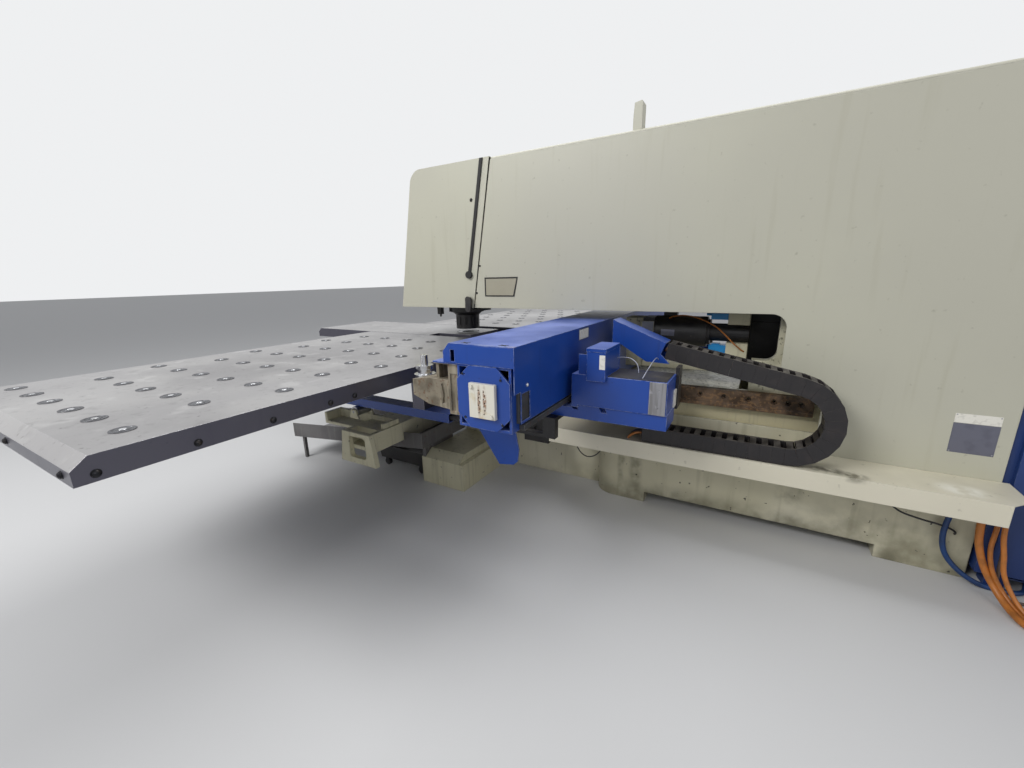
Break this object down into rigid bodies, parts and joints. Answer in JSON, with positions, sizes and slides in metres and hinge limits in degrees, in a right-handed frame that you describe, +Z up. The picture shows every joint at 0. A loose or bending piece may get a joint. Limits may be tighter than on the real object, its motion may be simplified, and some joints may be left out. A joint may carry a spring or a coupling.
{
  "type": "cnc punch press",
  "caption": "Punch press with a C-frame, a moving carriage with side tables, a cross beam with tool stations and clamps, an energy chain and a rear cabinet.",
  "frame": {"origin": "centre of the footprint on the floor, on the frame's middle plane", "axes": "+X along the frame from the punching head towards the rear cabinet, +Y across the machine away from the energy chain, +Z up"},
  "size_m": [4.82, 4.618, 2.044],
  "materials": {
    "cream_paint": "satin",
    "cast_paint": "satin",
    "blue_paint": "gloss",
    "cabinet_blue": "satin",
    "cast_iron": "matt",
    "table_steel": "satin",
    "steel": "satin",
    "rusty_rail": "matt",
    "tool_steel": "gloss",
    "black_metal": "satin",
    "black_plastic": "matt",
    "black_rubber": "matt",
    "chute_metal": "matt",
    "window": "gloss",
    "bright_blue": "satin"
  },
  "bodies": {
    "frame": {"c_frame": "cast_paint", "base_casting": "cast_paint", "foot_beam": "cast_paint", "head_casting": "cast_iron", "hydraulic_cylinder": "black_metal", "near_cover": "cream_paint", "far_cover": "cream_paint", "top_cover": "cream_paint", "cover_standoffs": "steel", "window_gasket": "black_rubber", "window_pane": "window", "rear_cabinet": "cabinet_blue", "guide_rails": "rusty_rail", "throat_liner": "black_metal", "screw_bearings": "cast_iron", "chain_shelf": "cream_paint", "chain_lower_run": "black_plastic", "centre_table": "table_steel", "die_holder": "cast_iron", "outriggers": "cast_paint", "scrap_chute": "chute_metal", "slug_bin": "black_metal", "socket_box": "black_plastic", "air_nozzle": "black_metal", "latch_bracket": "black_metal"},
    "y_carriage": {"carriage_saddle": "blue_paint", "wear_plates": "steel", "carriage_box": "blue_paint", "chain_bracket": "blue_paint", "chain_upper_run": "black_plastic", "guide_housings": "black_metal", "side_tables": "table_steel", "table_inserts": "black_metal", "table_bolts": "black_metal", "table_tubes": "blue_paint", "drag_bars": "black_metal", "x_motor": "black_metal", "motor_mount": "cream_paint", "air_valves": "bright_blue", "beam_guide_blocks": "cast_iron"},
    "cross_beam": {"beam_tube": "blue_paint", "beam_cover": "blue_paint", "beam_end_plates": "blue_paint", "oil_plate": "cream_paint", "beam_rail": "steel", "tool_stations": "cast_iron", "tool_cassettes": "tool_steel"},
    "chain_bend": {"chain_bend": "black_plastic"},
    "ram": {"ram": "tool_steel"},
    "upper_rotation": {"upper_tool_holder": "black_metal"},
    "lower_rotation": {"die_ring": "steel"},
    "y_screw": {"y_screw": "steel"},
    "near_roller": {"near_roller": "steel"},
    "far_roller": {"far_roller": "steel"},
    "hood": {"head_hood": "cream_paint", "hood_strips": "black_rubber"},
    "latch": {"latch_lever": "black_metal"},
    "cabinet_door": {"cabinet_door": "cabinet_blue"},
    "near_clamp": {"near_clamp_jaw": "steel"},
    "far_clamp": {"far_clamp_jaw": "steel"}
  },
  "joints": [
    {"name": "y_slide", "type": "slide", "parent": "frame", "child": "y_carriage", "axis": [1, 0, 0], "range_m": [-0.68, 0.58], "deforming": ["chain_lower_run", "chain_upper_run"]},
    {"name": "x_slide", "type": "slide", "parent": "y_carriage", "child": "cross_beam", "axis": [0, 1, 0], "range_m": [-1, 1]},
    {"name": "chain_bend_slide", "type": "slide", "parent": "frame", "child": "chain_bend", "axis": [1, 0, 0], "range_m": [-0.34, 0.29]},
    {"name": "ram_slide", "type": "slide", "parent": "frame", "child": "ram", "axis": [0, 0, 1], "range_m": [-0.04, 0]},
    {"name": "upper_rotation_hinge", "type": "hinge", "parent": "frame", "child": "upper_rotation", "pos_m": [-1.07, 0, 1], "axis": [0, 0, 1], "continuous": true},
    {"name": "lower_rotation_hinge", "type": "hinge", "parent": "frame", "child": "lower_rotation", "pos_m": [-1.07, 0, 0.82], "axis": [0, 0, 1], "continuous": true},
    {"name": "y_screw_hinge", "type": "hinge", "parent": "frame", "child": "y_screw", "pos_m": [0.23, 0.276, 0.58], "axis": [1, 0, 0], "continuous": true},
    {"name": "near_roller_hinge", "type": "hinge", "parent": "frame", "child": "near_roller", "pos_m": [-1.22, -0.915, 0.5088], "axis": [0, 1, 0], "continuous": true},
    {"name": "far_roller_hinge", "type": "hinge", "parent": "frame", "child": "far_roller", "pos_m": [-1.22, 0.915, 0.5088], "axis": [0, 1, 0], "continuous": true},
    {"name": "hood_hinge", "type": "hinge", "parent": "frame", "child": "hood", "pos_m": [-0.622, 0, 1.91], "axis": [0, 1, 0], "range_deg": [0, 40]},
    {"name": "latch_hinge", "type": "hinge", "parent": "frame", "child": "latch", "pos_m": [-0.787, -0.376, 1.075], "axis": [0, 1, 0], "range_deg": [0, 75]},
    {"name": "cabinet_door_hinge", "type": "hinge", "parent": "frame", "child": "cabinet_door", "pos_m": [2.402, -0.356, 1], "axis": [0, 0, 1], "range_deg": [0, 110]},
    {"name": "near_clamp_hinge", "type": "hinge", "parent": "cross_beam", "child": "near_clamp", "pos_m": [-0.37, -0.45, 0.935], "axis": [0, 1, 0], "range_deg": [0, 10]},
    {"name": "far_clamp_hinge", "type": "hinge", "parent": "cross_beam", "child": "far_clamp", "pos_m": [-0.37, 0.45, 0.935], "axis": [0, 1, 0], "range_deg": [0, 10]}
  ],
  "couplings": [
    {"joint": "chain_bend_slide", "follows": "y_slide", "ratio": 0.5},
    {"joint": "y_screw_hinge", "follows": "y_slide", "rad_per_m": -157.08},
    {"joint": "near_roller_hinge", "follows": "y_slide", "rad_per_m": 33.333},
    {"joint": "far_roller_hinge", "follows": "y_slide", "rad_per_m": 33.333},
    {"joint": "lower_rotation_hinge", "follows": "upper_rotation_hinge", "ratio": 1},
    {"joint": "far_clamp_hinge", "follows": "near_clamp_hinge", "ratio": 1}
  ]
}
